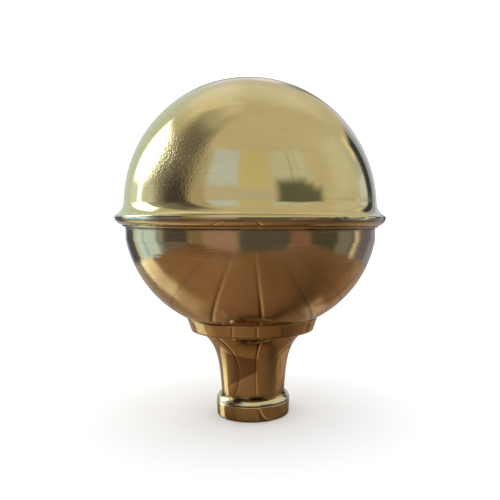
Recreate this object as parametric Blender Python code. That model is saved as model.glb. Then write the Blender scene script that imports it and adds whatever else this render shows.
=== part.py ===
"""Bed post finial: a hollow ball of two spun brass shells on a turned brass neck.

Metres, +Z up. The origin is the centre of the foot's underside and +Z is the turned axis.
Three separate pieces, each a solid of revolution about +Z:
  neck        foot band, bead, trumpet, collar and spigot, turned in one piece with a through bore
  lower_bowl  spun shell that sits in the dished collar, with its lip curled outwards at the seam
  upper_dome  spun shell whose skirt coves out to the flange and rolls round the lip of the bowl
"""

from math import asin, atan2, cos, exp, hypot, pi, radians, sin, sqrt

import bmesh
import bpy

# Ball: the dome is a true sphere of 4 in across, and the bowl is a little fuller than a sphere
BALL_RADIUS = 0.0508
SHELL_WALL = 0.0009
DOME_RISE = 0.0036          # centre of the dome's sphere above the seam plane
BOWL_STEP_IN = 0.00035      # how far the bowl's rim stands inside the dome's radius
BOWL_RIM_DEPTH = 0.0087     # straight rim of the bowl, down from the seam plane
BOWL_ARC_RADIUS = 0.0445
BOWL_ARC_DROP = 0.0013      # centre of the bowl's arc below the seam plane

# Flange where the dome is rolled round the bowl's lip
ROLL_RADIUS = 0.0036
ROLL_RISE = 0.0004          # centre of the roll above the seam plane
NOSE_RADIUS = 0.0008
NOSE_ANGLE = radians(-8)    # where the roll tightens into the nose, up from level
COVE_RADIUS = 0.0065
LIP_BEND = 0.0005           # bend of the bowl's outer face as it turns out into its lip
LIP_END_ANGLE = radians(25) # the lip stops this far below level
HEM_RADIUS = 0.00055        # rounded hem at the raw edge of the dome's skirt
HEM_DROP = 0.0033           # centre of the hem below the seam plane
GAP = 0.0003                # clearance between one piece and the next

# Foot: plain band with a bead on it
WAIST_RADIUS = 0.0132
WAIST_HEIGHT = 0.0103
FOOT_PROJECTION = 0.00225   # top of the band beyond the waist
FOOT_TAPER = 0.0002         # the band draws in this much towards its underside
BAND_HEIGHT = 0.0061
FOOT_EDGE = 0.0008
SHOULDER_EDGE = 0.0003
BEAD_RADIUS = 0.0015
BEAD_PROJECTION = 0.0007    # centre of the bead's round beyond the waist
BEAD_LIFT = 0.00095         # centre of the bead's round above the band
FOOT_COVE_RADIUS = 0.0022

# Trumpet and collar
NECK_HEIGHT = 0.0364        # foot to the underside of the collar
TRUMPET_TAPER = 0.046       # steady widening for each metre of height
TRUMPET_DECAY = 0.0058      # height over which the flare under the collar falls to 1/e
COLLAR_RADIUS = 0.0273      # at its top edge, where the bowl sits in
COLLAR_HEIGHT = 0.00525
COLLAR_TAPER = 0.0017
COLLAR_LEDGE = 0.0029       # flat underside between the trumpet and the collar's face
COLLAR_EDGE = 0.0004

# Inside of the neck
NECK_WALL = 0.0021
SOCKET_DEPTH = 0.027
MOUTH_CHAMFER = 0.0004
SEAT_WIDTH = 0.0101         # dished seat, from the collar's edge in to the spigot
SPIGOT_WALL = 0.0023
SPIGOT_RISE = 0.0015        # above the bowl's inner face

# Sizes that follow from those above
RIM_RADIUS = BALL_RADIUS - BOWL_STEP_IN
ROLL_CENTRE = (RIM_RADIUS + LIP_BEND, ROLL_RISE)
BOWL_ARC_CENTRE = (RIM_RADIUS - sqrt(BOWL_ARC_RADIUS**2 - (BOWL_RIM_DEPTH - BOWL_ARC_DROP)**2),
                   -BOWL_ARC_DROP)
SEAT_RADIUS = BOWL_ARC_RADIUS + GAP
COLLAR_TOP = NECK_HEIGHT + COLLAR_HEIGHT
SEAM_HEIGHT = COLLAR_TOP + BOWL_ARC_DROP + sqrt(SEAT_RADIUS**2 - (COLLAR_RADIUS - BOWL_ARC_CENTRE[0])**2)
HOLE_RADIUS = COLLAR_RADIUS - SEAT_WIDTH
SPIGOT_RADIUS = HOLE_RADIUS - GAP

# Facets
SEGMENTS = 48               # a multiple of 4, so that the outline reaches its full size on X and Y
ARC_STEP = radians(24)      # turn from one facet to the next, unless one of these is given
EDGE_STEP = radians(45)
HEM_STEP = radians(50)
BEAD_STEP = radians(30)
NOSE_STEP = radians(35)
ROLL_STEP = radians(19)
COVE_STEP = radians(20)
BALL_STEP = radians(9)
BOWL_STEP = radians(10)
INSIDE_STEP = radians(12)
TRUMPET_STEPS = 8
TRUMPET_CROWDING = 1.7      # above 1, the trumpet's points close up towards its top
SEAT_STEPS = 4


def on_circle(centre, radius, angle):
    """The point at this angle on a circle in the profile's plane; 0 is outwards and a quarter turn is up."""
    return centre[0] + radius * cos(angle), centre[1] + radius * sin(angle)


def arc(centre, radius, start, end, step=ARC_STEP):
    """Points along a round, both ends included, no further apart than the step."""
    count = max(1, round(abs(end - start) / step))
    return [on_circle(centre, radius, start + (end - start) * i / count) for i in range(count + 1)]


def angle_to(centre, point):
    """Angle from a circle's centre to a point, from -90 degrees up to 270 degrees."""
    angle = atan2(point[1] - centre[1], point[0] - centre[0])
    return angle + 2 * pi if angle < -pi / 2 else angle


def crossing(first, first_radius, second, second_radius, side):
    """One of the two points where two circles meet; side is 1 left of the line of centres, -1 right."""
    across, up = second[0] - first[0], second[1] - first[1]
    apart = hypot(across, up)
    along = (apart**2 + first_radius**2 - second_radius**2) / (2 * apart)
    off = side * sqrt(max(first_radius**2 - along**2, 0.0))
    return (first[0] + (along * across - off * up) / apart,
            first[1] + (along * up + off * across) / apart)


def bowl_face(radius, offset, base=0.0):
    """Height of a face parallel to the bowl's outer arc, this far outside it, at a radius from the axis."""
    reach = BOWL_ARC_RADIUS + offset
    return base + BOWL_ARC_CENTRE[1] - sqrt(reach**2 - (radius - BOWL_ARC_CENTRE[0])**2)


def trumpet():
    """The neck's outline from the waist up: a steady taper plus a flare that grows as exp(height)."""
    top_radius = COLLAR_RADIUS - COLLAR_TAPER - COLLAR_LEDGE
    rise = NECK_HEIGHT - WAIST_HEIGHT
    least = exp(-rise / TRUMPET_DECAY)
    flare = top_radius - WAIST_RADIUS - TRUMPET_TAPER * rise
    points = []
    for i in range(TRUMPET_STEPS + 1):
        up = rise * (1 - (1 - i / TRUMPET_STEPS)**TRUMPET_CROWDING)
        share = (exp((up - rise) / TRUMPET_DECAY) - least) / (1 - least)
        points.append((WAIST_RADIUS + TRUMPET_TAPER * up + flare * share, WAIST_HEIGHT + up))
    return points


def neck_profile():
    """Closed outline of the neck, from the mouth of the socket round the outside and down the bore."""
    band_radius = WAIST_RADIUS + FOOT_PROJECTION
    foot_radius = band_radius - FOOT_TAPER
    socket_radius = WAIST_RADIUS - NECK_WALL
    throat_radius = SPIGOT_RADIUS - SPIGOT_WALL
    spigot_top = bowl_face(HOLE_RADIUS, -SHELL_WALL, SEAM_HEIGHT) + SPIGOT_RISE
    bead = (WAIST_RADIUS + BEAD_PROJECTION, BAND_HEIGHT + BEAD_LIFT)
    cove = (WAIST_RADIUS + FOOT_COVE_RADIUS, WAIST_HEIGHT)
    bead_top = crossing(bead, BEAD_RADIUS, cove, FOOT_COVE_RADIUS, 1)
    face_foot = (COLLAR_RADIUS - COLLAR_TAPER, NECK_HEIGHT)

    points = [(socket_radius + MOUTH_CHAMFER, 0.0)]
    points += arc((foot_radius - FOOT_EDGE, FOOT_EDGE), FOOT_EDGE, -pi / 2, 0, EDGE_STEP)
    points += arc((band_radius - SHOULDER_EDGE, BAND_HEIGHT - SHOULDER_EDGE), SHOULDER_EDGE, 0, pi / 2,
                  EDGE_STEP)
    points += arc(bead, BEAD_RADIUS, -asin(BEAD_LIFT / BEAD_RADIUS), angle_to(bead, bead_top), BEAD_STEP)
    points += arc(cove, FOOT_COVE_RADIUS, angle_to(cove, bead_top), pi)[1:-1]
    points += trumpet()
    points += arc((face_foot[0] - COLLAR_EDGE, face_foot[1] + COLLAR_EDGE), COLLAR_EDGE, -pi / 2, 0,
                  EDGE_STEP)
    seat_run = SEAT_WIDTH + GAP - COLLAR_EDGE
    seat = [COLLAR_RADIUS - COLLAR_EDGE - seat_run * i / SEAT_STEPS for i in range(SEAT_STEPS + 1)]
    points.append((COLLAR_RADIUS, bowl_face(COLLAR_RADIUS, GAP, SEAM_HEIGHT) - COLLAR_EDGE))
    points += [(radius, bowl_face(radius, GAP, SEAM_HEIGHT)) for radius in seat]
    points += [(SPIGOT_RADIUS, spigot_top), (throat_radius, spigot_top)]
    points += [(throat_radius, NECK_HEIGHT), (socket_radius, SOCKET_DEPTH), (socket_radius, MOUTH_CHAMFER)]
    return points


def bowl_profile():
    """Closed outline of the bowl in the seam's own plane: up the outside, round the lip, down the inside."""
    centre = BOWL_ARC_CENTRE
    inner_radius = BOWL_ARC_RADIUS - SHELL_WALL
    rim_angle = -asin((BOWL_RIM_DEPTH - BOWL_ARC_DROP) / BOWL_ARC_RADIUS)
    outer_hole = (HOLE_RADIUS, bowl_face(HOLE_RADIUS, 0.0))
    inner_hole = (HOLE_RADIUS, bowl_face(HOLE_RADIUS, -SHELL_WALL))
    inner_rim = RIM_RADIUS - SHELL_WALL
    inner_rim_angle = atan2(-sqrt(inner_radius**2 - (inner_rim - centre[0])**2), inner_rim - centre[0])

    lip_radius = ROLL_RADIUS - SHELL_WALL - GAP
    bend = (ROLL_CENTRE[0], ROLL_CENTRE[1] - lip_radius - LIP_BEND)
    points = arc(centre, BOWL_ARC_RADIUS, angle_to(centre, outer_hole), rim_angle, BOWL_STEP)
    points += arc(bend, LIP_BEND, pi, pi / 2, EDGE_STEP)
    points += arc(ROLL_CENTRE, lip_radius, -pi / 2, -LIP_END_ANGLE)[1:]
    points += arc(ROLL_CENTRE, lip_radius - SHELL_WALL, -LIP_END_ANGLE, -pi / 2)[:-1]
    points += arc(bend, LIP_BEND + SHELL_WALL, pi / 2, pi, EDGE_STEP)
    points += arc(centre, inner_radius, inner_rim_angle, angle_to(centre, inner_hole), INSIDE_STEP)
    return points


def dome_profile():
    """Open outline of the dome in the seam's own plane, from the crown over the outside and back inside."""
    ball = (0.0, DOME_RISE)
    nose = on_circle(ROLL_CENTRE, ROLL_RADIUS - NOSE_RADIUS, NOSE_ANGLE)
    cove = crossing(ball, BALL_RADIUS + COVE_RADIUS, nose, NOSE_RADIUS + COVE_RADIUS, 1)
    ball_end = angle_to(ball, cove)
    cove_start, cove_end = ball_end + pi, angle_to(cove, nose)
    roll_inside = ROLL_RADIUS - SHELL_WALL
    cove_inside = COVE_RADIUS + SHELL_WALL
    corner = crossing(cove, cove_inside, ROLL_CENTRE, roll_inside, 1)
    hem = (RIM_RADIUS + GAP + HEM_RADIUS, -HEM_DROP)
    hem_start = crossing(ROLL_CENTRE, ROLL_RADIUS, hem, HEM_RADIUS, 1)
    roll_end = atan2(hem_start[1] - ROLL_CENTRE[1], hem_start[0] - ROLL_CENTRE[0])

    points = arc(ball, BALL_RADIUS, pi / 2, ball_end, BALL_STEP)
    points += arc(cove, COVE_RADIUS, cove_start, cove_end, COVE_STEP)[1:]
    points += arc(nose, NOSE_RADIUS, cove_end - pi, NOSE_ANGLE, NOSE_STEP)[1:]
    points += arc(ROLL_CENTRE, ROLL_RADIUS, NOSE_ANGLE, roll_end, ROLL_STEP)[1:]
    points += arc(hem, HEM_RADIUS, angle_to(hem, hem_start), -pi, HEM_STEP)[1:]
    points += arc(ROLL_CENTRE, roll_inside, -pi / 2, angle_to(ROLL_CENTRE, corner), BEAD_STEP)
    points += arc(cove, cove_inside, angle_to(cove, corner), cove_start, COVE_STEP)[1:]
    points += arc(ball, BALL_RADIUS - SHELL_WALL, ball_end, pi / 2, INSIDE_STEP)[1:]
    return points


def brass(name, colour, roughness):
    """Plain lacquer-free brass."""
    material = bpy.data.materials.new(name)
    material.use_nodes = True
    shader = material.node_tree.nodes["Principled BSDF"]
    shader.inputs["Base Color"].default_value = (*colour, 1.0)
    shader.inputs["Metallic"].default_value = 1.0
    shader.inputs["Roughness"].default_value = roughness
    return material


def turned(name, profile, height, closed, material, parent):
    """Spin a profile of (radius, height) points once round +Z into one closed body."""
    shape = bmesh.new()
    corners = [shape.verts.new((radius, 0.0, up)) for radius, up in profile]
    pairs = list(zip(corners, corners[1:]))
    if closed:
        pairs.append((corners[-1], corners[0]))
    edges = [shape.edges.new(pair) for pair in pairs]
    bmesh.ops.spin(shape, geom=corners + edges, cent=(0, 0, 0), axis=(0, 0, 1), angle=2 * pi,
                   steps=SEGMENTS, use_merge=True)
    bmesh.ops.remove_doubles(shape, verts=shape.verts, dist=1e-6)
    bmesh.ops.recalc_face_normals(shape, faces=shape.faces)
    mesh = bpy.data.meshes.new(name)
    shape.to_mesh(mesh)
    shape.free()
    mesh.shade_smooth()
    mesh.set_sharp_from_angle(angle=radians(40))
    mesh.materials.append(material)
    piece = bpy.data.objects.new(name, mesh)
    piece.location = (0.0, 0.0, height)
    piece.parent = parent
    bpy.context.scene.collection.objects.link(piece)
    return piece


def build():
    for old in list(bpy.data.objects):
        bpy.data.objects.remove(old, do_unlink=True)
    finial = bpy.data.objects.new("finial", None)
    bpy.context.scene.collection.objects.link(finial)
    turned("neck", neck_profile(), 0.0, True, brass("neck brass", (0.56, 0.37, 0.15), 0.14), finial)
    turned("lower_bowl", bowl_profile(), SEAM_HEIGHT, True,
           brass("bowl brass", (0.60, 0.41, 0.18), 0.20), finial)
    turned("upper_dome", dome_profile(), SEAM_HEIGHT, False,
           brass("dome brass", (0.74, 0.60, 0.32), 0.12), finial)


build()
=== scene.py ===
import math

import bpy
import numpy as np
from mathutils import Matrix


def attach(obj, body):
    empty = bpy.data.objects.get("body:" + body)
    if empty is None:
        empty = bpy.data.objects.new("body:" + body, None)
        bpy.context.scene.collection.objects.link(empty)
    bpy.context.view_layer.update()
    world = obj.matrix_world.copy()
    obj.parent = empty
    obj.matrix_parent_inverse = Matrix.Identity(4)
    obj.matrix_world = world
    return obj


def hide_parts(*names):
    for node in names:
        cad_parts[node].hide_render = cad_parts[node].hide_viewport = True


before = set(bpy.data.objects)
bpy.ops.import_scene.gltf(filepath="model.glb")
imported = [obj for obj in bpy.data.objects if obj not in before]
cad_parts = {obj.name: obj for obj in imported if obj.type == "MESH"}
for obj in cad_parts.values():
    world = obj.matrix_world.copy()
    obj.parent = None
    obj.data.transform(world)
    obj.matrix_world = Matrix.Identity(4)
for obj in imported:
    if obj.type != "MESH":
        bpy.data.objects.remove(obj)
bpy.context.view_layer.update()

# Camera.
# It stands level with the ball's seam, about five ball radii away, and looks a little down and to the right
# of the finial. The shift is the photograph's own framing.
SEAM_HEIGHT = 0.082665
CAMERA_DISTANCE = 0.25639
CAMERA_YAW = math.radians(4.443)
CAMERA_PITCH = math.radians(8.0)
CAMERA_ROLL = math.radians(0.31)
CAMERA_LENS = 44.28
CAMERA_SHIFT = (-0.100, 0.1081)

look = np.array([math.sin(CAMERA_YAW) * math.cos(CAMERA_PITCH),
                 math.cos(CAMERA_YAW) * math.cos(CAMERA_PITCH), -math.sin(CAMERA_PITCH)])
level_right = np.array([math.cos(CAMERA_YAW), -math.sin(CAMERA_YAW), 0.0])
level_up = np.cross(level_right, look)
right = math.cos(CAMERA_ROLL) * level_right + math.sin(CAMERA_ROLL) * level_up
up = math.cos(CAMERA_ROLL) * level_up - math.sin(CAMERA_ROLL) * level_right

camera_data = bpy.data.cameras.new("camera")
camera_data.lens = CAMERA_LENS
camera_data.shift_x, camera_data.shift_y = CAMERA_SHIFT
camera_data.clip_start = 0.01
camera = bpy.data.objects.new("camera", camera_data)
pose = np.eye(4)
pose[:3, 0], pose[:3, 1], pose[:3, 2] = right, up, -look
pose[:3, 3] = (0.0, -CAMERA_DISTANCE, SEAM_HEIGHT)
camera.matrix_world = Matrix(pose.tolist())
bpy.context.scene.collection.objects.link(camera)
bpy.context.scene.camera = camera


# Neck.
# One turned brass piece: a plain foot band with a bead on it, a trumpet that flares out under a tapering
# collar, and inside it a bore that opens at the foot and takes the top of the bed post.
TURNS = 384                         # facets round the axis
SAME_POINT = 1e-6                   # profile points nearer than this are one
BAND_RADIUS = 0.01545
FOOT_RADIUS = 0.01525
FOOT_EDGE = 0.0008
SHOULDER_EDGE = 0.0005
BAND_HEIGHT = 0.0065
GROOVE = (0.01505, 0.0066)
BEAD_RADIUS = 0.0033
BEAD_CENTRE = (0.01217, 0.00631)
BEAD_START = math.radians(11)       # where the bead leaves the groove, up from level
WAIST_RADIUS = 0.0132
WAIST_HEIGHT = 0.00975
FOOT_COVE_RADIUS = 0.0006
NECK_HEIGHT = 0.0364
TRUMPET_TOP_RADIUS = 0.0227
TRUMPET_TAPER = 0.046
TRUMPET_DECAY = 0.0058
TRUMPET_CROWDING = 1.5              # over 1, its points crowd towards the top, where it bends most
COLLAR_RADIUS = 0.0273
COLLAR_FOOT_RADIUS = 0.0256
COLLAR_EDGE = 0.0004
COLLAR_BREAK = 0.00015
SOCKET_RADIUS = 0.0111
SOCKET_DEPTH = 0.027
THROAT_RADIUS = 0.0146
SPIGOT_RADIUS = 0.0169
SPIGOT_TOP = 0.0406
MOUTH_CHAMFER = 0.0004
BOWL_ARC_RADIUS = 0.0445
BOWL_ARC_CENTRE = (0.00657, SEAM_HEIGHT - 0.0013)
SEAT_GAP = 0.00003


def on_circle(centre, radius, start, end, count):
    """Points (radius, height) along a round: its centre plus the radius times (cos, sin) of evenly spaced
    angles, both ends included."""
    angle = np.linspace(start, end, count)
    return np.column_stack([centre[0] + radius * np.cos(angle), centre[1] + radius * np.sin(angle)])


def straight(start, end, count):
    """Points evenly spaced along a straight line, both ends included."""
    return np.linspace(start, end, count)


def angle_to(centre, point):
    """Angle from a centre to a point, from -90 degrees up to 270 degrees."""
    angle = math.atan2(point[1] - centre[1], point[0] - centre[0])
    return angle + 2 * math.pi if angle < -math.pi / 2 else angle


def crossing(first, first_radius, second, second_radius, side):
    """One of the two points where two circles meet; side is 1 left of the line of centres, -1 right."""
    across, rise = second[0] - first[0], second[1] - first[1]
    apart = math.hypot(across, rise)
    along = (apart**2 + first_radius**2 - second_radius**2) / (2 * apart)
    off = side * math.sqrt(first_radius**2 - along**2)
    return (first[0] + (along * across - off * rise) / apart,
            first[1] + (along * rise + off * across) / apart)


def bowl_face(radius, offset):
    """Height of a face parallel to the bowl's outer arc, this far outside it, at a radius from the axis."""
    return BOWL_ARC_CENTRE[1] - np.sqrt((BOWL_ARC_RADIUS + offset)**2 - (radius - BOWL_ARC_CENTRE[0])**2)


def joined(*runs):
    """Profile runs one after another, without the points that two runs share."""
    points = np.concatenate(runs)
    step = np.linalg.norm(np.diff(points, axis=0), axis=1)
    return points[np.concatenate([[True], step > SAME_POINT])]


def turned(name, profile, closed, relief=None, marks=None, painted_reflection=None):
    """Turn a profile of (radius, height) points round +Z. The grid's point at row i and turn j is
    (r cos a, r sin a, z), with a = 2 pi j / TURNS, so the outer face points outwards when the profile runs
    up the outside. Relief(a, s) is added along the profile's normal, where s is the length run along the
    profile. An open profile ends on the axis. The UV map is (turn, s). Marks gives attributes by name, each
    a list of a point, a width and a strength: the value is the largest strength exp(-(d / width)^2), where
    d is the distance of the profile from the point. Where a turn and a spread in degrees follow, it is also
    times exp(-(turned / spread)^2). The last argument gives a mask of painted reflection as a function of
    (a, r, z), kept as a point attribute under that argument's name."""
    count = len(profile)
    angle = np.arange(TURNS) * 2 * math.pi / TURNS
    ends = np.vstack([profile[-1:], profile, profile[:1]]) if closed else np.vstack(
        [2 * profile[0] - profile[1], profile, 2 * profile[-1] - profile[-2]])
    tangent = ends[2:] - ends[:-2]
    tangent /= np.linalg.norm(tangent, axis=1)[:, None]
    normal = np.column_stack([tangent[:, 1], -tangent[:, 0]])
    length = np.concatenate([[0], np.cumsum(np.linalg.norm(np.diff(profile, axis=0), axis=1))])
    height = np.zeros((count, TURNS)) if relief is None else relief(angle[None, :], length[:, None])
    radius = profile[:, :1] + height * normal[:, :1]
    rise = profile[:, 1:] + height * normal[:, 1:]
    points = np.stack([radius * np.cos(angle), radius * np.sin(angle),
                       np.broadcast_to(rise, radius.shape)], axis=2)

    turn = np.arange(TURNS)
    after = (turn + 1) % TURNS
    rows = np.arange(count if closed else count - 1)
    above = (rows + 1) % count
    quads = np.stack([rows[:, None] * TURNS + turn, rows[:, None] * TURNS + after,
                      above[:, None] * TURNS + after, above[:, None] * TURNS + turn], axis=2).reshape(-1, 4)
    flat = points.reshape(-1, 3)
    loop_v = np.concatenate([length, [length[-1] + np.linalg.norm(profile[0] - profile[-1])]])
    turn_uv = np.stack([turn, turn + 1, turn + 1, turn], axis=1) / TURNS
    u = np.broadcast_to(turn_uv, (len(rows), TURNS, 4)).reshape(-1, 4)
    v = np.repeat(np.stack([loop_v[rows], loop_v[rows], loop_v[rows + 1], loop_v[rows + 1]], axis=1),
                  TURNS, axis=0)

    mesh = bpy.data.meshes.new(name)
    mesh.vertices.add(len(flat))
    mesh.vertices.foreach_set("co", flat.astype(np.float32).ravel())
    mesh.loops.add(quads.size)
    mesh.loops.foreach_set("vertex_index", quads.astype(np.int32).ravel())
    mesh.polygons.add(len(quads))
    mesh.polygons.foreach_set("loop_start", np.arange(0, quads.size, 4, dtype=np.int32))
    mesh.polygons.foreach_set("loop_total", np.full(len(quads), 4, np.int32))
    uv_map = mesh.uv_layers.new(name="turning")
    uv_map.data.foreach_set("uv", np.stack([u, v], axis=2).astype(np.float32).ravel())
    for mark, places in (marks or {}).items():
        depth = np.zeros((count, TURNS))
        for centre, width, strength, *window in places:
            gap = np.linalg.norm(profile - np.array(centre), axis=1)[:, None]
            around = np.zeros(TURNS)
            if window:
                around = (angle - math.radians(window[0]) + math.pi) % (2 * math.pi) - math.pi
                around = around / math.radians(window[1])
            depth = np.maximum(depth, strength * np.exp(-(gap / width)**2 - around**2))
        attribute = mesh.attributes.new(mark, "FLOAT", "POINT")
        attribute.data.foreach_set("value", depth.astype(np.float32).ravel())
    if painted_reflection is not None:
        reflection_mask = painted_reflection(angle[None, :], profile[:, :1], profile[:, 1:])
        attribute = mesh.attributes.new("painted_reflection", "FLOAT", "POINT")
        attribute.data.foreach_set("value", reflection_mask.astype(np.float32).ravel())
    mesh.update(calc_edges=True)
    mesh.validate()
    mesh.shade_smooth()
    piece = bpy.data.objects.new(name, mesh)
    bpy.context.scene.collection.objects.link(piece)
    return piece


def put(tree, node, inputs):
    """Set a node's inputs: a socket is linked, anything else becomes the input's own value."""
    for key, value in inputs.items():
        if isinstance(value, bpy.types.NodeSocket):
            tree.links.new(value, node.inputs[key])
        else:
            node.inputs[key].default_value = value


def wire(tree, kind, inputs=None, **settings):
    """Add a node of this kind, with its settings and inputs."""
    node = tree.nodes.new(kind)
    for key, value in settings.items():
        setattr(node, key, value)
    put(tree, node, inputs or {})
    return node


def figure(tree, operation, *values):
    """One step of arithmetic on sockets or numbers; gives the result's socket."""
    return wire(tree, "ShaderNodeMath", dict(enumerate(values)), operation=operation).outputs[0]


def blend(tree, share, first, second):
    """Mix two colours: the second one's share is the mask."""
    node = wire(tree, "ShaderNodeMix", {"Factor": share, 6: first, 7: second}, data_type="RGBA")
    return node.outputs[2]


# Noise of the turned surface: its scale across the axis, its scale along the profile, and its detail.
LINE_NOISE = (20.0, 3000.0, 3.0)
STREAK_NOISE = (90.0, 1100.0, 2.0)
BLOTCH_SCALE = 90.0
BLOTCH_DETAIL = 4.0
GRAIN_RANGE = (0.38, 0.62)          # grain over which the colour goes from darker to lighter
DARKER_SHARE = 0.09                 # how much dirt is in the darker brass
LIGHTER_SHARE = 0.04                # how much white is in the lighter brass
# Pale brass of rubbed wear and of painted highlight.
RUBBED_AND_HIGHLIGHT_BRASS = (0.80, 0.68, 0.44, 1)
PATCHY_RANGE = (0.38, 0.52)          # blotches over which the dirt and the painted shade go from thin to full
PATCHY_SHARE = (0.55, 1.0)
GRAIN_ROUGHNESS = 0.08
CREASE_ROUGHNESS = 0.35
ROUGHNESS_OFFSET = -0.04            # takes back what an average grain adds
BUMP_DISTANCE = 0.0001


def brass_wear_and_painted_light():
    """Node group for brass that was turned or spun and then handled. Lines is noise squeezed along the
    profile and drawn out round the axis; streaks is the same, wider and shorter. The colour goes from
    darker to lighter with lines and blotches, to pale brass with the attribute of rubbed wear and painted
    highlight, and to a dark colour with the attribute crease, which holds dirt and painted shade. Height is
    the sum of lines and streaks, each times its depth."""
    group = bpy.data.node_groups.new("brass_wear_and_painted_light", "ShaderNodeTree")
    for socket, kind in (("Brass", "NodeSocketColor"), ("Dirt And Shade", "NodeSocketColor"),
                         ("Polish", "NodeSocketFloat"), ("Line Depth", "NodeSocketFloat"),
                         ("Streak Depth", "NodeSocketFloat")):
        group.interface.new_socket(socket, in_out="INPUT", socket_type=kind)
    for socket, kind in (("Colour", "NodeSocketColor"), ("Roughness", "NodeSocketFloat"),
                         ("Height", "NodeSocketFloat")):
        group.interface.new_socket(socket, in_out="OUTPUT", socket_type=kind)
    given = wire(group, "NodeGroupInput").outputs
    place = wire(group, "ShaderNodeTexCoord").outputs["Object"]
    axes = wire(group, "ShaderNodeSeparateXYZ", {0: place}).outputs
    turning = wire(group, "ShaderNodeUVMap", uv_map="turning").outputs[0]
    along = wire(group, "ShaderNodeSeparateXYZ", {0: turning}).outputs["Y"]

    def rings(round_scale, along_scale, detail):
        """Noise with one scale across the axis and another along the profile."""
        where = wire(group, "ShaderNodeCombineXYZ", {
            0: figure(group, "MULTIPLY", axes["X"], round_scale),
            1: figure(group, "MULTIPLY", axes["Y"], round_scale),
            2: figure(group, "MULTIPLY", along, along_scale)})
        noise = wire(group, "ShaderNodeTexNoise", {"Vector": where.outputs[0], "Scale": 1.0,
                                                   "Detail": detail})
        return noise.outputs["Fac"]

    lines = rings(*LINE_NOISE)
    streaks = rings(*STREAK_NOISE)
    blotches = wire(group, "ShaderNodeTexNoise", {"Vector": place, "Scale": BLOTCH_SCALE,
                                                  "Detail": BLOTCH_DETAIL}).outputs["Fac"]
    grain = figure(group, "MULTIPLY_ADD", figure(group, "ADD", lines, blotches), 0.5, 0.0)
    darker = blend(group, DARKER_SHARE, given["Brass"], given["Dirt And Shade"])
    lighter = blend(group, LIGHTER_SHARE, given["Brass"], (1, 1, 1, 1))
    bright = wire(group, "ShaderNodeMapRange", {"Value": grain, "From Min": GRAIN_RANGE[0],
                                                "From Max": GRAIN_RANGE[1]}).outputs[0]
    wear_and_highlight = blend(group, bright, darker, lighter)
    rubbed_and_highlight = wire(group, "ShaderNodeAttribute", attribute_name="rubbed_and_highlight").outputs["Fac"]
    wear_and_highlight = blend(group, figure(group, "MINIMUM", rubbed_and_highlight, 1.0), wear_and_highlight, RUBBED_AND_HIGHLIGHT_BRASS)
    crease = wire(group, "ShaderNodeAttribute", attribute_name="crease").outputs["Fac"]
    patchy = wire(group, "ShaderNodeMapRange", {
        "Value": blotches, "From Min": PATCHY_RANGE[0], "From Max": PATCHY_RANGE[1],
        "To Min": PATCHY_SHARE[0], "To Max": PATCHY_SHARE[1]}).outputs[0]
    dirt_and_shade = figure(group, "MULTIPLY", crease, patchy)
    dull = figure(group, "MULTIPLY_ADD", dirt_and_shade, CREASE_ROUGHNESS, ROUGHNESS_OFFSET)
    uneven = figure(group, "MULTIPLY_ADD", grain, GRAIN_ROUGHNESS, dull)
    height = figure(group, "MULTIPLY_ADD", streaks, given["Streak Depth"],
                    figure(group, "MULTIPLY", lines, given["Line Depth"]))
    wire(group, "NodeGroupOutput", {
        "Colour": blend(group, dirt_and_shade, wear_and_highlight, given["Dirt And Shade"]),
        "Roughness": figure(group, "ADD", given["Polish"], uneven), "Height": height})
    return group


WEAR_AND_PAINTED_LIGHT = brass_wear_and_painted_light()
# Dark colour of the dirt and of the painted shade in creases; the darker grain has a little of it too.
DIRT_AND_SHADE = (0.045, 0.028, 0.014, 1)


def brass(name, base, polish, line_depth, streak_depth):
    """Brass of one colour and polish; the depths are the bump strengths of its lines and streaks."""
    paint = bpy.data.materials.new(name)
    paint.use_nodes = True
    tree = paint.node_tree
    wear_and_painted_light = wire(tree, "ShaderNodeGroup", {
        "Brass": base + (1,), "Dirt And Shade": DIRT_AND_SHADE, "Polish": polish, "Line Depth": line_depth,
        "Streak Depth": streak_depth}, node_tree=WEAR_AND_PAINTED_LIGHT)
    bump = wire(tree, "ShaderNodeBump", {"Height": wear_and_painted_light.outputs["Height"], "Strength": 1.0,
                                         "Distance": BUMP_DISTANCE})
    put(tree, tree.nodes["Principled BSDF"], {
        "Base Color": wear_and_painted_light.outputs["Colour"], "Metallic": 1.0, "Roughness": wear_and_painted_light.outputs["Roughness"],
        "Normal": bump.outputs[0]})
    return paint


neck_cove_centre = (WAIST_RADIUS + FOOT_COVE_RADIUS, WAIST_HEIGHT)
bead_top = crossing(BEAD_CENTRE, BEAD_RADIUS, neck_cove_centre, FOOT_COVE_RADIUS, 1)
bead_foot = (BEAD_CENTRE[0] + BEAD_RADIUS * math.cos(BEAD_START),
             BEAD_CENTRE[1] + BEAD_RADIUS * math.sin(BEAD_START))
trumpet_rise = NECK_HEIGHT - WAIST_HEIGHT
rise_left = trumpet_rise * np.linspace(1, 0, 61)**TRUMPET_CROWDING
least = math.exp(-trumpet_rise / TRUMPET_DECAY)
flare_share = (np.exp(-rise_left / TRUMPET_DECAY) - least) / (1 - least)
trumpet_run = np.column_stack([
    WAIST_RADIUS + TRUMPET_TAPER * (trumpet_rise - rise_left)
    + (TRUMPET_TOP_RADIUS - WAIST_RADIUS - TRUMPET_TAPER * trumpet_rise) * flare_share,
    NECK_HEIGHT - rise_left])
collar_top = bowl_face(COLLAR_RADIUS, SEAT_GAP) - COLLAR_BREAK
seat_radius = np.linspace(COLLAR_RADIUS - COLLAR_BREAK, SPIGOT_RADIUS, 16)

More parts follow.
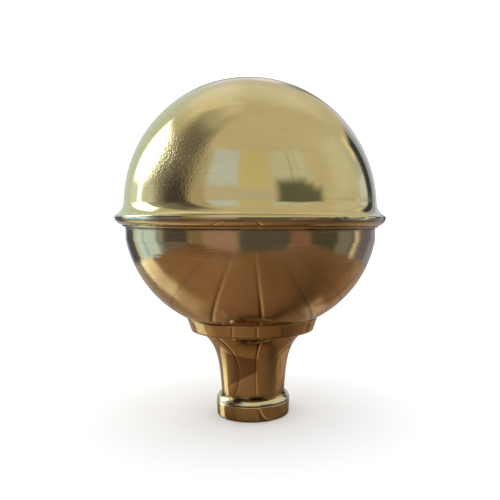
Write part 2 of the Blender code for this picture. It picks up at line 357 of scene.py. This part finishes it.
neck_profile = joined(
    straight((SOCKET_RADIUS + MOUTH_CHAMFER, 0), (FOOT_RADIUS - FOOT_EDGE, 0), 6),
    on_circle((FOOT_RADIUS - FOOT_EDGE, FOOT_EDGE), FOOT_EDGE, -math.pi / 2, 0, 8),
    straight((FOOT_RADIUS, FOOT_EDGE), (BAND_RADIUS, BAND_HEIGHT - SHOULDER_EDGE), 12),
    on_circle((BAND_RADIUS - SHOULDER_EDGE, BAND_HEIGHT - SHOULDER_EDGE), SHOULDER_EDGE, 0, math.pi / 2, 7),
    straight(GROOVE, bead_foot, 3),
    on_circle(BEAD_CENTRE, BEAD_RADIUS, BEAD_START, angle_to(BEAD_CENTRE, bead_top), 22),
    on_circle(neck_cove_centre, FOOT_COVE_RADIUS, angle_to(neck_cove_centre, bead_top), math.pi, 8),
    trumpet_run,
    straight((TRUMPET_TOP_RADIUS, NECK_HEIGHT), (COLLAR_FOOT_RADIUS - COLLAR_EDGE, NECK_HEIGHT), 4),
    on_circle((COLLAR_FOOT_RADIUS - COLLAR_EDGE, NECK_HEIGHT + COLLAR_EDGE), COLLAR_EDGE,
              -math.pi / 2, 0.2, 8),
    straight((COLLAR_FOOT_RADIUS, NECK_HEIGHT + COLLAR_EDGE), (COLLAR_RADIUS, collar_top), 12),
    np.column_stack([seat_radius, bowl_face(seat_radius, SEAT_GAP)]),
    straight((SPIGOT_RADIUS, SPIGOT_TOP), (THROAT_RADIUS, SPIGOT_TOP), 2),
    straight((THROAT_RADIUS, NECK_HEIGHT), (SOCKET_RADIUS, SOCKET_DEPTH), 4),
    straight((SOCKET_RADIUS, SOCKET_DEPTH), (SOCKET_RADIUS, MOUTH_CHAMFER), 8))

# A pennant of painted reflection, dark reddish brown, on the front of the neck: its edges are straight
# lines of height over angle.
REFLECTION_PATCH_TURN = (math.radians(-138), math.radians(-83))
REFLECTION_PATCH_TOP = (0.0264, 0.0025)      # at its right end, and rise for each radian to the left
REFLECTION_PATCH_FOOT = (0.0212, -0.0077)    # the same for its lower edge
REFLECTION_PATCH_BLUR = 0.0005
REFLECTION_PATCH_LEFT_SHARE = 0.15           # its left end is blurred over 1 / this times as much
# Dark reddish brown of the painted reflection.
PAINTED_REFLECTION_BRASS = (0.29, 0.165, 0.075, 1)


def neck_painted_reflection(angle, radius, height):
    """Painted reflection: 1 inside the pennant and 0 outside it and in the bore, going evenly from one to
    the other over one blur across each edge."""
    turn = (angle + math.pi) % (2 * math.pi) - math.pi
    left = REFLECTION_PATCH_TURN[1] - turn
    inside = np.minimum(REFLECTION_PATCH_TOP[0] + REFLECTION_PATCH_TOP[1] * left - height,
                        height - REFLECTION_PATCH_FOOT[0] - REFLECTION_PATCH_FOOT[1] * left)
    from_left = (turn - REFLECTION_PATCH_TURN[0]) * REFLECTION_PATCH_LEFT_SHARE
    inside = np.minimum(inside, np.minimum(left, from_left) * WAIST_RADIUS)
    inside = np.where(radius < SOCKET_RADIUS + REFLECTION_PATCH_BLUR, -REFLECTION_PATCH_BLUR, inside)
    return np.clip(inside / REFLECTION_PATCH_BLUR + 0.5, 0, 1)


# Painted shade all round the top of the bead, in the groove under it, in the corner under the collar and
# along the collar's top edge; dirt in three thick patches round the top of the bead and one on the bead.
NECK_DIRT_AND_SHADE = ((bead_top, 0.0004, 0.6), (bead_top, 0.0010, 1.4, -84, 16), (bead_top, 0.0012, 1.6, -20, 9),
             ((0.0142, 0.0088), 0.0017, 1.5, -117, 9), (bead_top, 0.0012, 1.6, -156, 9),
             (GROOVE, 0.00035, 0.9), ((TRUMPET_TOP_RADIUS, NECK_HEIGHT), 0.0008, 0.6),
             ((COLLAR_RADIUS, collar_top), 0.0003, 0.3))
# Rubbed bright, partly painted highlight: the outside of the bead; painted highlight along the band's top
# edge.
NECK_RUBBED_AND_HIGHLIGHT = (((0.0150, 0.0078), 0.0013, 1.6), ((BAND_RADIUS, BAND_HEIGHT), 0.0005, 1.0))
neck = turned("turned_neck", neck_profile, True, painted_reflection=neck_painted_reflection,
              marks={"crease": NECK_DIRT_AND_SHADE, "rubbed_and_highlight": NECK_RUBBED_AND_HIGHLIGHT})
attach(neck, "root")
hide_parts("neck")
# Brass of the neck, darker and browner than the dome's: partly a painted reflection of the brown table top.
NECK_BRASS_AND_REFLECTION = (0.56, 0.37, 0.15)
neck_paint = brass("neck_brass", NECK_BRASS_AND_REFLECTION, polish=0.08, line_depth=0.10, streak_depth=0.0)
tree = neck_paint.node_tree
shader = tree.nodes["Principled BSDF"]
# Painted reflection: the neck's colour goes to dark reddish brown inside the pennant.
reflection_mask = wire(tree, "ShaderNodeAttribute", attribute_name="painted_reflection").outputs["Fac"]
put(tree, shader, {"Base Color": blend(tree, reflection_mask, shader.inputs["Base Color"].links[0].from_socket,
                                       PAINTED_REFLECTION_BRASS)})
neck.data.materials.append(neck_paint)


# Bowl.
# Lower half of the ball, spun from brass sheet: a short straight rim, then an arc with fuller shoulders
# and a shallower bottom than a half sphere. Its lip is curled outwards at the seam, and it sits in the
# dished collar.
SHELL_WALL = 0.0009
RIM_RADIUS = 0.05045
RIM_DROP = 0.0087
RIM_FOOT = SEAM_HEIGHT - RIM_DROP
RIM_SHADE_DROP = 0.0039              # painted shade in the crease between the rim and the dome's hem
HOLE_RADIUS = 0.0172
ROLL_RADIUS = 0.00359
LIP_BEND = 0.0005
LIP_GAP = 0.0001
LIP_END_ANGLE = math.radians(25)
ROLL_LIFT = 0.0004
ROLL_CENTRE = (RIM_RADIUS + LIP_BEND, SEAM_HEIGHT + ROLL_LIFT)
# Brass of the bowl: the dome's brass made darker and browner, a painted reflection of the brown table top.
BOWL_BRASS_AND_REFLECTION = (0.60, 0.41, 0.18)

lip_radius = ROLL_RADIUS - SHELL_WALL - LIP_GAP
bend_centre = (ROLL_CENTRE[0], ROLL_CENTRE[1] - lip_radius - LIP_BEND)
inner_arc_radius = BOWL_ARC_RADIUS - SHELL_WALL
outer_hole = (HOLE_RADIUS, bowl_face(HOLE_RADIUS, 0))
inner_hole = (HOLE_RADIUS, bowl_face(HOLE_RADIUS, -SHELL_WALL))
rim_angle = -math.asin((BOWL_ARC_CENTRE[1] - RIM_FOOT) / BOWL_ARC_RADIUS)
inner_rim_angle = -math.acos((RIM_RADIUS - SHELL_WALL - BOWL_ARC_CENTRE[0]) / inner_arc_radius)
bowl_profile = joined(
    on_circle(BOWL_ARC_CENTRE, BOWL_ARC_RADIUS, angle_to(BOWL_ARC_CENTRE, outer_hole), rim_angle, 110),
    straight((RIM_RADIUS, RIM_FOOT), (RIM_RADIUS, bend_centre[1]), 16),
    on_circle(bend_centre, LIP_BEND, math.pi, math.pi / 2, 6),
    on_circle(ROLL_CENTRE, lip_radius, -math.pi / 2, -LIP_END_ANGLE, 10),
    on_circle(ROLL_CENTRE, lip_radius - SHELL_WALL, -LIP_END_ANGLE, -math.pi / 2, 10),
    on_circle(bend_centre, LIP_BEND + SHELL_WALL, math.pi / 2, math.pi, 6),
    on_circle(BOWL_ARC_CENTRE, inner_arc_radius, inner_rim_angle,
              angle_to(BOWL_ARC_CENTRE, inner_hole), 30))
# Painted shade under the dome's hem, and where the bowl sits on the collar.
BOWL_SHADE = (((RIM_RADIUS, SEAM_HEIGHT - RIM_SHADE_DROP), 0.0006, 1.0),
             ((COLLAR_RADIUS, bowl_face(COLLAR_RADIUS, 0)), 0.0005, 0.5))
bowl = turned("spun_bowl", bowl_profile, True, marks={"crease": BOWL_SHADE})
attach(bowl, "root")
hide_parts("lower_bowl")
bowl.data.materials.append(brass("bowl_brass", BOWL_BRASS_AND_REFLECTION, polish=0.10, line_depth=0.22, streak_depth=0.30))


# Dome.
# Upper half of the ball, spun from brass sheet: a true half sphere whose skirt coves out to the nose of the
# flange and is rolled under, round the lip of the bowl.
BALL_RADIUS = 0.0508
BALL_LIFT = 0.0036
BALL_CENTRE = (0.0, SEAM_HEIGHT + BALL_LIFT)
NOSE_RADIUS = 0.0008
NOSE_ANGLE = math.radians(-8)
COVE_RADIUS = 0.0065
HEM_RADIUS = 0.00055
HEM_GAP = 0.0001
HEM_DROP = 0.0033
HEM_CENTRE = (RIM_RADIUS + HEM_RADIUS + HEM_GAP, SEAM_HEIGHT - HEM_DROP)
DOME_BRASS = (0.74, 0.60, 0.32)

nose_centre = (ROLL_CENTRE[0] + (ROLL_RADIUS - NOSE_RADIUS) * math.cos(NOSE_ANGLE),
               ROLL_CENTRE[1] + (ROLL_RADIUS - NOSE_RADIUS) * math.sin(NOSE_ANGLE))
cove_centre = crossing(BALL_CENTRE, BALL_RADIUS + COVE_RADIUS, nose_centre, NOSE_RADIUS + COVE_RADIUS, 1)
ball_end = angle_to(BALL_CENTRE, cove_centre)
cove_end = angle_to(cove_centre, nose_centre)
inner_roll = ROLL_RADIUS - SHELL_WALL
inner_cove = COVE_RADIUS + SHELL_WALL
inner_corner = crossing(cove_centre, inner_cove, ROLL_CENTRE, inner_roll, 1)
hem_start = crossing(ROLL_CENTRE, ROLL_RADIUS, HEM_CENTRE, HEM_RADIUS, 1)
dome_profile = joined(
    on_circle(BALL_CENTRE, BALL_RADIUS - SHELL_WALL, math.pi / 2, ball_end, 30),
    on_circle(cove_centre, inner_cove, ball_end + math.pi, angle_to(cove_centre, inner_corner), 8),
    on_circle(ROLL_CENTRE, inner_roll, angle_to(ROLL_CENTRE, inner_corner), -math.pi / 2, 8),
    on_circle(HEM_CENTRE, HEM_RADIUS, -math.pi, angle_to(HEM_CENTRE, hem_start), 10),
    on_circle(ROLL_CENTRE, ROLL_RADIUS, angle_to(ROLL_CENTRE, hem_start), NOSE_ANGLE, 20),
    on_circle(nose_centre, NOSE_RADIUS, NOSE_ANGLE, cove_end - math.pi, 10),
    on_circle(cove_centre, COVE_RADIUS, cove_end, ball_end + math.pi, 24),
    on_circle(BALL_CENTRE, BALL_RADIUS, ball_end, math.pi / 2, 110))
dome_profile[[0, -1], 0] = 0.0
nose_tip = (nose_centre[0] + NOSE_RADIUS, nose_centre[1])
under_nose = (nose_tip[0] - 0.0003, nose_tip[1] - 0.0011)

# Each dent: its turn in degrees, the point of the profile that it is nearest to, its radius and its depth.
DENTS = ((-70.7, (0.0412, 0.1160), 0.0013, 0.00010),
         (-54.0, nose_tip, 0.0011, 0.00008),
         (-57.5, nose_tip, 0.0014, 0.00003),
         (-43.5, nose_tip, 0.0016, 0.00004),
         (-122.0, nose_tip, 0.0016, 0.00008))
dome_run = np.concatenate([[0], np.cumsum(np.linalg.norm(np.diff(dome_profile, axis=0), axis=1))])


def dome_dents(angle, run):
    """The sum, over the dents, of minus the depth times exp(-(d / radius)^2), where d is the distance from
    the dent's centre over the surface."""
    height = np.zeros((len(run), angle.shape[1]))
    for turn, point, radius, depth in DENTS:
        near = np.linalg.norm(dome_profile - np.array(point), axis=1).argmin()
        around = (angle - math.radians(turn) + math.pi) % (2 * math.pi) - math.pi
        gap = (around * point[0])**2 + (run - dome_run[near])**2
        height = height - depth * np.exp(-gap / radius**2)
    return height


# Painted shade at the hem, over the right end of the flange and under the nose; dirt in three of the dents
# on the nose.
DOME_DIRT_AND_SHADE = ((hem_start, 0.00035, 0.8), (nose_tip, 0.0005, 1.0, -54, 1.2),
             (nose_tip, 0.0004, 0.8, -58, 1.2), (nose_tip, 0.0004, 0.7, -44, 2.0),
             (nose_tip, 0.0020, 2.5, -6, 14), (under_nose, 0.0006, 0.7))
dome = turned("spun_dome", dome_profile, False, dome_dents, {"crease": DOME_DIRT_AND_SHADE})
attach(dome, "root")
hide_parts("upper_dome")
dome_paint = brass("dome_brass", DOME_BRASS, polish=0.08, line_depth=0.045, streak_depth=0.0)
tree = dome_paint.node_tree
shader = tree.nodes["Principled BSDF"]
place = wire(tree, "ShaderNodeTexCoord").outputs["Object"]

SCRATCH_FULL = 0.6                  # share of its half length over which a scratch is full
SCRATCH_HEIGHT = -0.5
SCRATCH_SHARE = 0.5                 # how much of its own colour a scratch shows
SCRATCH_COLOUR = (0.35, 0.25, 0.11, 1)


def scratch(start, end, width):
    """Mask of one straight scratch: 1 - d / width, where d is the distance from the line through its ends,
    fading out towards both ends and 0 beyond them."""
    start, end = np.array(start), np.array(end)
    middle, half = (start + end) / 2, np.linalg.norm(end - start) / 2
    lean = tuple((end - start) / (2 * half))
    offset = wire(tree, "ShaderNodeVectorMath", {0: place, 1: tuple(middle)},
                  operation="SUBTRACT").outputs[0]
    run = wire(tree, "ShaderNodeVectorMath", {0: offset, 1: lean}, operation="PROJECT").outputs[0]
    away = wire(tree, "ShaderNodeVectorMath", {0: offset, 1: run}, operation="DISTANCE").outputs["Value"]
    reach = wire(tree, "ShaderNodeVectorMath", {0: run}, operation="LENGTH").outputs["Value"]
    across = wire(tree, "ShaderNodeMapRange", {"Value": away, "From Min": 0.0, "From Max": width,
                                               "To Min": 1.0, "To Max": 0.0}).outputs[0]
    within = wire(tree, "ShaderNodeMapRange", {"Value": reach, "From Min": half * SCRATCH_FULL,
                                               "From Max": half, "To Min": 1.0, "To Max": 0.0}).outputs[0]
    return figure(tree, "MULTIPLY", across, within)


# Each scratch: its two ends and its width.
SCRATCHES = (((0.0234, -0.0285, 0.1212), (0.0253, -0.0309, 0.1177), 0.00022),
             ((-0.0300, -0.0316, 0.1125), (-0.0268, -0.0409, 0.0999), 0.00016),
             ((-0.0285, -0.0376, 0.1052), (-0.0250, -0.0436, 0.0930), 0.00016),
             ((-0.0268, -0.0395, 0.1035), (-0.0239, -0.0449, 0.0881), 0.00014),
             ((-0.0310, -0.0352, 0.1055), (-0.0275, -0.0415, 0.0972), 0.00014),
             ((-0.0132, -0.0391, 0.1158), (-0.0127, -0.0393, 0.1158), 0.00050))
scratches = scratch(*SCRATCHES[0])
for mark in SCRATCHES[1:]:
    scratches = figure(tree, "MAXIMUM", scratches, scratch(*mark))
bump = shader.inputs["Normal"].links[0].from_node
grooved = figure(tree, "MULTIPLY_ADD", scratches, SCRATCH_HEIGHT,
                 bump.inputs["Height"].links[0].from_socket)

# Fine scuffs on the left shoulder, fading out from their middle.
SCUFF_CENTRE = (-0.0262, -0.0402, 0.1020)
SCUFF_REACH = 0.018
SCUFF_SCALE = 1500.0
SCUFF_DETAIL = 4.0
SCUFF_HEIGHT = 1.9
away = wire(tree, "ShaderNodeVectorMath", {0: place, 1: SCUFF_CENTRE},
            operation="DISTANCE").outputs["Value"]
scuffed = figure(tree, "MAXIMUM", figure(tree, "MULTIPLY_ADD", away, -1 / SCUFF_REACH, 1.0), 0.0)
grain = wire(tree, "ShaderNodeTexNoise", {"Vector": place, "Scale": SCUFF_SCALE,
                                          "Detail": SCUFF_DETAIL}).outputs["Fac"]
grooved = figure(tree, "MULTIPLY_ADD", figure(tree, "MULTIPLY", scuffed, grain), SCUFF_HEIGHT, grooved)
put(tree, bump, {"Height": grooved})
put(tree, shader, {"Base Color": blend(tree, figure(tree, "MULTIPLY", scratches, SCRATCH_SHARE),
                                       shader.inputs["Base Color"].links[0].from_socket, SCRATCH_COLOUR)})
dome.data.materials.append(dome_paint)


# Floor and light.
# A plain pale floor in a white studio. What the brass mirrors is soft cards on a wide sphere and a plank
# table top just under the floor, which the camera doesn't see.
VARNISH_IOR = 1.5
ONE_BOUNCE = 1.5                    # a mirror depth over this is a second mirroring or more


def soft_card(across, up, left, right, low, high, blur):
    """Share of a soft-edged rectangle: 3t^2 - 2t^3, where t is the distance inside its nearest edge over
    the blur, plus a half, and kept between 0 and 1."""
    inside = np.minimum(np.minimum(across - left, right - across), np.minimum(up - low, high - up))
    share = np.clip(inside / blur + 0.5, 0, 1)
    return (share * share * (3 - 2 * share))[..., None]


def lit(base, across, up, cards):
    """Lay soft cards over a base colour, one after another."""
    colours = np.broadcast_to(np.array(base, float), across.shape + (3,))
    for left, right, low, high, blur, tint in cards:
        share = soft_card(across, up, left, right, low, high, blur)
        colours = colours * (1 - share) + share * np.array(tint)
    return colours


def mirrored_backdrop(name, points, colours, wraps, varnish=None, second_only=False):
    """A grid of points with a colour at each, which only mirror rays see and which gives no other light.
    Varnish is a roughness: with one it also mirrors what is over it, the more the flatter it is seen. A
    second-only one shows in the mirror image of a mirror image, and nowhere else."""
    rows, columns = points.shape[:2]
    index = np.arange(rows * columns).reshape(rows, columns)
    if wraps:
        index = np.concatenate([index, index[:, :1]], axis=1)
    corners = [index[:-1, :-1], index[:-1, 1:], index[1:, 1:], index[1:, :-1]]
    quads = np.stack(corners, axis=2).reshape(-1, 4)
    mesh = bpy.data.meshes.new(name)
    mesh.from_pydata(points.reshape(-1, 3).tolist(), [], quads.tolist())
    glow = mesh.color_attributes.new("glow", "FLOAT_COLOR", "POINT")
    rgba = np.ones((rows * columns, 4), np.float32)
    rgba[:, :3] = colours.reshape(-1, 3)
    glow.data.foreach_set("color", rgba.ravel())
    paint = bpy.data.materials.new(name)
    paint.use_nodes = True
    paint.cycles.emission_sampling = "NONE"
    tree = paint.node_tree
    tree.nodes.clear()
    tint = wire(tree, "ShaderNodeAttribute", attribute_name="glow")
    light = wire(tree, "ShaderNodeEmission", {"Color": tint.outputs["Color"]})
    surface = light.outputs[0]
    if varnish is not None:
        gloss = wire(tree, "ShaderNodeBsdfGlossy", {"Color": (1, 1, 1, 1), "Roughness": varnish})
        share = wire(tree, "ShaderNodeFresnel", {"IOR": VARNISH_IOR}).outputs[0]
        surface = wire(tree, "ShaderNodeMixShader", {0: share, 1: surface, 2: gloss.outputs[0]}).outputs[0]
    if second_only:
        bounces = wire(tree, "ShaderNodeLightPath").outputs["Glossy Depth"]
        shown = figure(tree, "GREATER_THAN", bounces, ONE_BOUNCE)
        clear = wire(tree, "ShaderNodeBsdfTransparent").outputs[0]
        surface = wire(tree, "ShaderNodeMixShader", {0: shown, 1: clear, 2: surface}).outputs[0]
    wire(tree, "ShaderNodeOutputMaterial", {"Surface": surface})
    mesh.materials.append(paint)
    backdrop = bpy.data.objects.new(name, mesh)
    backdrop.visible_camera = backdrop.visible_diffuse = backdrop.visible_shadow = False
    bpy.context.scene.collection.objects.link(backdrop)
    return backdrop


FLOOR_HALF = 4
FLOOR_PALE = (0.97, 0.97, 0.97, 1)
floor_mesh = bpy.data.meshes.new("floor")
floor_mesh.from_pydata([(-FLOOR_HALF, -FLOOR_HALF, 0), (FLOOR_HALF, -FLOOR_HALF, 0),
                        (FLOOR_HALF, FLOOR_HALF, 0), (-FLOOR_HALF, FLOOR_HALF, 0)], [], [(0, 1, 2, 3)])
floor = bpy.data.objects.new("floor", floor_mesh)
bpy.context.scene.collection.objects.link(floor)
floor_paint = bpy.data.materials.new("pale_floor")
floor_paint.use_nodes = True
tree = floor_paint.node_tree
tree.nodes.clear()
pale = wire(tree, "ShaderNodeBsdfDiffuse", {"Color": FLOOR_PALE})
clear = wire(tree, "ShaderNodeBsdfTransparent")
mirrored = wire(tree, "ShaderNodeLightPath").outputs["Is Glossy Ray"]
either = wire(tree, "ShaderNodeMixShader", {0: mirrored, 1: pale.outputs[0], 2: clear.outputs[0]})
wire(tree, "ShaderNodeOutputMaterial", {"Surface": either.outputs[0]})
floor_mesh.materials.append(floor_paint)

# Each card: left, right, low and high edge in degrees, then its blur and colour. Left and right are
# azimuths from the camera's side, positive to its right, and low and high are elevations.
ROOM_CARDS = (
    (-200, -125, 46, 76, 26, (0.75, 0.76, 0.66)),
    (125, 200, 46, 76, 26, (0.75, 0.76, 0.66)),
    (-172, -134, 44, 66, 18, (0.86, 0.88, 0.80)),
    (-150, -70, 68, 82, 12, (0.80, 0.81, 0.71)),
    (-116, -50, 50, 74, 22, (0.52, 0.50, 0.41)),
    (-142, -112, 52, 72, 12, (0.86, 0.84, 0.70)),
    (-172, -126, -25, 44, 10, (0.66, 0.76, 0.70)),
    (-132, -98, -25, 20, 9, (0.82, 1.00, 0.98)),
    (-117, -111, -25, 16, 3, (2.6, 2.8, 3.0)),
    (-128, -114, 13, 39, 7, (5.0, 5.6, 6.0)),
    (-121, -105, 15, 37, 7, (5.0, 5.6, 6.0)),
    (-104, -84, -25, 34, 8, (0.40, 0.47, 0.42)),
    (-107, -88, -25, 15, 8, (0.72, 0.80, 0.76)),
    (-98, -54, 36, 60, 14, (0.20, 0.195, 0.175)),
    (-91, -58, -25, 46, 12, (0.23, 0.22, 0.20)),
    (-72, -53, 18, 48, 9, (0.12, 0.115, 0.11)),
    (-81, -55, -25, 23, 8, (0.075, 0.07, 0.078)),
    (-122, -84, -30, 3, 5, (0.84, 1.34, 2.0)),
    (-112, -109, -30, 3, 2, (0.55, 0.85, 1.2)),
    (-92, -84, -30, 3, 4, (0.40, 0.55, 0.70)),
    (-86, -58, -30, -3, 6, (0.20, 0.23, 0.30)),
    (-55, -40, -25, 44, 6, (0.50, 0.46, 0.36)),
    (-40, 16, 4, 19, 4, (0.62, 0.60, 0.55)),
    (-39, -12, 18, 47, 5, (0.61, 0.73, 0.88)),
    (-12, 15, 16, 47, 6, (0.66, 0.64, 0.42)),
    (17, 52, 20, 46, 5, (0.64, 0.69, 0.64)),
    (36, 37.5, 20, 46, 2, (0.45, 0.47, 0.42)),
    (43, 44, 20, 44, 2, (0.50, 0.52, 0.46)),
    (22, 48, -8, 22, 9, (0.13, 0.15, 0.12)),
    (42, 63, -8, 15, 9, (0.14, 0.16, 0.12)),
    (42, 55, -8, 18.5, 7, (0.14, 0.16, 0.12)),
    (80, 112, 8, 42, 16, (0.69, 0.72, 0.62)),
    (112, 126, 1, 30, 6, (0.56, 0.62, 0.62)),
    (112, 127, 1, 15, 4, (0.74, 0.84, 0.95)),
    (118, 128, 23, 34, 4, (0.85, 0.84, 0.64)),
    (126, 140, -4, 29, 5, (0.05, 0.06, 0.08)),
    (140, 150, -4, 27, 5, (0.40, 0.46, 0.60)),
    (150, 166, -4, 25, 6, (0.62, 0.68, 0.85)),
    (164, 172, 5, 34, 4, (0.32, 0.34, 0.36)),
    (172, 190, -5, 38, 6, (0.9, 0.9, 1.0)),
    (-190, -166, -5, 38, 6, (0.8, 0.8, 0.9)),
    (-190, -175, -40, 14, 6, (0.25, 0.23, 0.25)),
    (175, 190, -40, 14, 6, (0.20, 0.17, 0.19)),
    (-152, -129, -25, 1, 4, (0.10, 0.12, 0.16)),
    (-55, -42, -40, 5, 4, (0.30, 0.28, 0.20)),
    (-42, -12, -40, 5, 5, (0.46, 0.36, 0.38)),
    (-12, 33, -40, 6, 4, (0.13, 0.145, 0.165)),
    (33, 52, -40, 5, 4, (0.32, 0.21, 0.22)),
    (52, 82, -40, 5, 4, (0.11, 0.12, 0.12)),
    (82, 98, -40, 5, 4, (0.26, 0.32, 0.42)),
    (98, 104, -40, 5, 3, (0.17, 0.20, 0.24)),
    (104, 109, -40, 5, 2, (0.95, 1.0, 1.1)),
    (112, 136, -30, 4, 6, (0.22, 0.23, 0.36)),
    (136, 176, -25, 0, 8, (0.34, 0.38, 0.50)),
    (-176, -152, -25, 0, 8, (0.42, 0.46, 0.60)),
    (-195, -169, -18, 24, 7, (0.20, 0.20, 0.19)),
    (168, 195, -18, 24, 7, (0.22, 0.21, 0.22)),
)
ROOM_BASE = (0.64, 0.62, 0.49)
ROOM_RADIUS = 3.0
azimuth, elevation = np.meshgrid(np.arange(-180.0, 180.0), np.linspace(-89.9, 89.9, 181))
turn_angle, rise_angle = np.radians(azimuth), np.radians(elevation)
room_points = ROOM_RADIUS * np.stack([np.sin(turn_angle) * np.cos(rise_angle),
                                      -np.cos(turn_angle) * np.cos(rise_angle), np.sin(rise_angle)], axis=2)
room_points[..., 2] += SEAM_HEIGHT
room_colours = lit(ROOM_BASE, azimuth, elevation, ROOM_CARDS)
room = mirrored_backdrop("room", room_points, room_colours, True)

# The same for the table top: left and right in x, low and high in y, in metres from the axis.
TABLE_LIGHTS = (
    (-0.30, -0.02, -0.13, 0.70, 0.060, (0.36, 0.235, 0.165)),
    (-0.30, 0.00, 0.03, 0.70, 0.050, (0.36, 0.24, 0.18)),
    (0.015, 0.30, -0.15, 0.06, 0.030, (0.22, 0.13, 0.08)),
    (0.070, 0.140, 0.020, 0.090, 0.040, (0.34, 0.19, 0.11)),
    (-0.30, 0.02, 0.085, 0.35, 0.050, (0.34, 0.28, 0.23)),
    (-0.100, -0.044, -0.022, 0.018, 0.018, (0.56, 0.46, 0.33)),
    (0.03, 0.20, 0.05, 0.30, 0.050, (0.36, 0.27, 0.20)),
    (0.044, 0.066, -0.006, 0.050, 0.012, (0.55, 0.44, 0.34)),
)
# Each joint between planks: its x beside the foot, its lean, how dark it is, and how light the edge beside
# it is.
JOINTS = ((-0.118, 0.09, 0.60, 0.20), (-0.079, 0.09, 0.65, 0.35), (-0.0325, 0.076, 0.97, 2.6),
          (0.006, 0.0, 0.90, 2.6), (0.049, -0.05, 0.70, 0.30), (0.092, -0.05, 0.60, 0.30))
JOINT_WIDTH = 0.0014
JOINT_STEP = 0.0024
JOINT_EDGE_WIDTH = 0.0007
JOINT_LIGHT = (0.26, 0.20, 0.14)
# A painted soft shadow that fans out to the right and forwards, and a painted contact shadow in a ring
# where the foot stands.
SHADOW_TURN = math.radians(-30)
SHADOW_SPREAD = math.radians(20)
SHADOW_REACH = 0.12
SHADOW_DEPTH = 0.80
CONTACT_REACH = 0.006
# A dark reddish streak that runs back and to the right; its limits are left, right, low, high and blur.
STREAK_START = 0.052
STREAK_LEAN = 0.86
STREAK_WIDTH = 0.0045
STREAK_LIMITS = (0.054, 0.150, 0.000, 0.105, 0.010)
STREAK_LOSS = (0.45, 0.68, 0.75)
TABLE_BASE = (0.26, 0.155, 0.10)
TABLE_X = (-0.20, 0.20, 801)        # from, to, and how many points
TABLE_Y = (-0.175, 0.70, 176)
TABLE_HEIGHT = -0.0005
TABLE_VARNISH = 0.13
table_x, table_y = np.meshgrid(np.linspace(*TABLE_X), np.linspace(*TABLE_Y))
table_colours = lit(TABLE_BASE, table_x, table_y, TABLE_LIGHTS)
for crosses, lean, dark, light in JOINTS:
    from_joint = table_x - crosses - lean * table_y
    table_colours = table_colours * (1 - dark * np.exp(-(from_joint / JOINT_WIDTH)**2)[..., None])
    lit_edge = light * np.exp(-((from_joint - JOINT_STEP) / JOINT_EDGE_WIDTH)**2)[..., None]
    table_colours = table_colours + lit_edge * np.array(JOINT_LIGHT)
from_foot = np.hypot(table_x, table_y)
shadow_side = (np.arctan2(table_y, table_x) - SHADOW_TURN) / SHADOW_SPREAD
fan = np.exp(-shadow_side**2) * np.exp(-from_foot / SHADOW_REACH)
contact = np.exp(-np.maximum(from_foot - FOOT_RADIUS, 0) / CONTACT_REACH)
table_colours = table_colours * (1 - SHADOW_DEPTH * np.maximum(fan, contact))[..., None]
beside = table_x - STREAK_START - STREAK_LEAN * table_y
streak = np.exp(-(beside / STREAK_WIDTH)**2)[..., None] * soft_card(table_x, table_y, *STREAK_LIMITS)
table_colours = table_colours * (1 - streak * np.array(STREAK_LOSS))
table_points = np.stack([table_x, table_y, np.full(table_x.shape, TABLE_HEIGHT)], axis=2)
table_top = mirrored_backdrop("table_top", table_points, table_colours, False, TABLE_VARNISH)

# Low screens half a metre off, seen only at a second mirroring, mostly in the table's varnish: a dark one
# from the left round to the front, a pale one behind on the left, a bright one on the left for the glare
# of daylight, and a dim one behind on the right. Each is an arc about the foot, with its turns in degrees.
SCREEN_DISTANCE = 0.53
SCREEN_FOOT = -0.01
SCREEN_TOP = 0.184


def low_screen(name, start, end, low, high, tint):
    """A cylinder wall: at the turn t it stands at the distance times (sin t, -cos t), with even heights."""
    turn, height = np.meshgrid(np.radians(np.linspace(start, end, 41)), np.linspace(low, high, 3))
    points = np.stack([SCREEN_DISTANCE * np.sin(turn), -SCREEN_DISTANCE * np.cos(turn), height], axis=2)
    colours = np.broadcast_to(np.array(tint), points.shape)
    return mirrored_backdrop(name, points, colours, False, second_only=True)


dark_screen = low_screen("dark_screen", -104, 8, SCREEN_FOOT, SCREEN_TOP, (0.02, 0.02, 0.02))
light_screen = low_screen("light_screen", -190, -142, SCREEN_FOOT, SCREEN_TOP, (0.8, 0.8, 0.75))
bright_screen = low_screen("bright_screen", -129, -103, 0.085, 0.44, (7.6, 8.8, 8.0))
dim_screen = low_screen("dim_screen", 104, 170, SCREEN_FOOT, SCREEN_TOP, (0.5, 0.48, 0.52))

STUDIO_STRENGTH = 1.25
world = bpy.data.worlds.new("studio")
bpy.context.scene.world = world
world.use_nodes = True
world.node_tree.nodes["Background"].inputs["Color"].default_value = (1, 1, 1, 1)
world.node_tree.nodes["Background"].inputs["Strength"].default_value = STUDIO_STRENGTH
bpy.context.scene.view_settings.view_transform = "Standard"
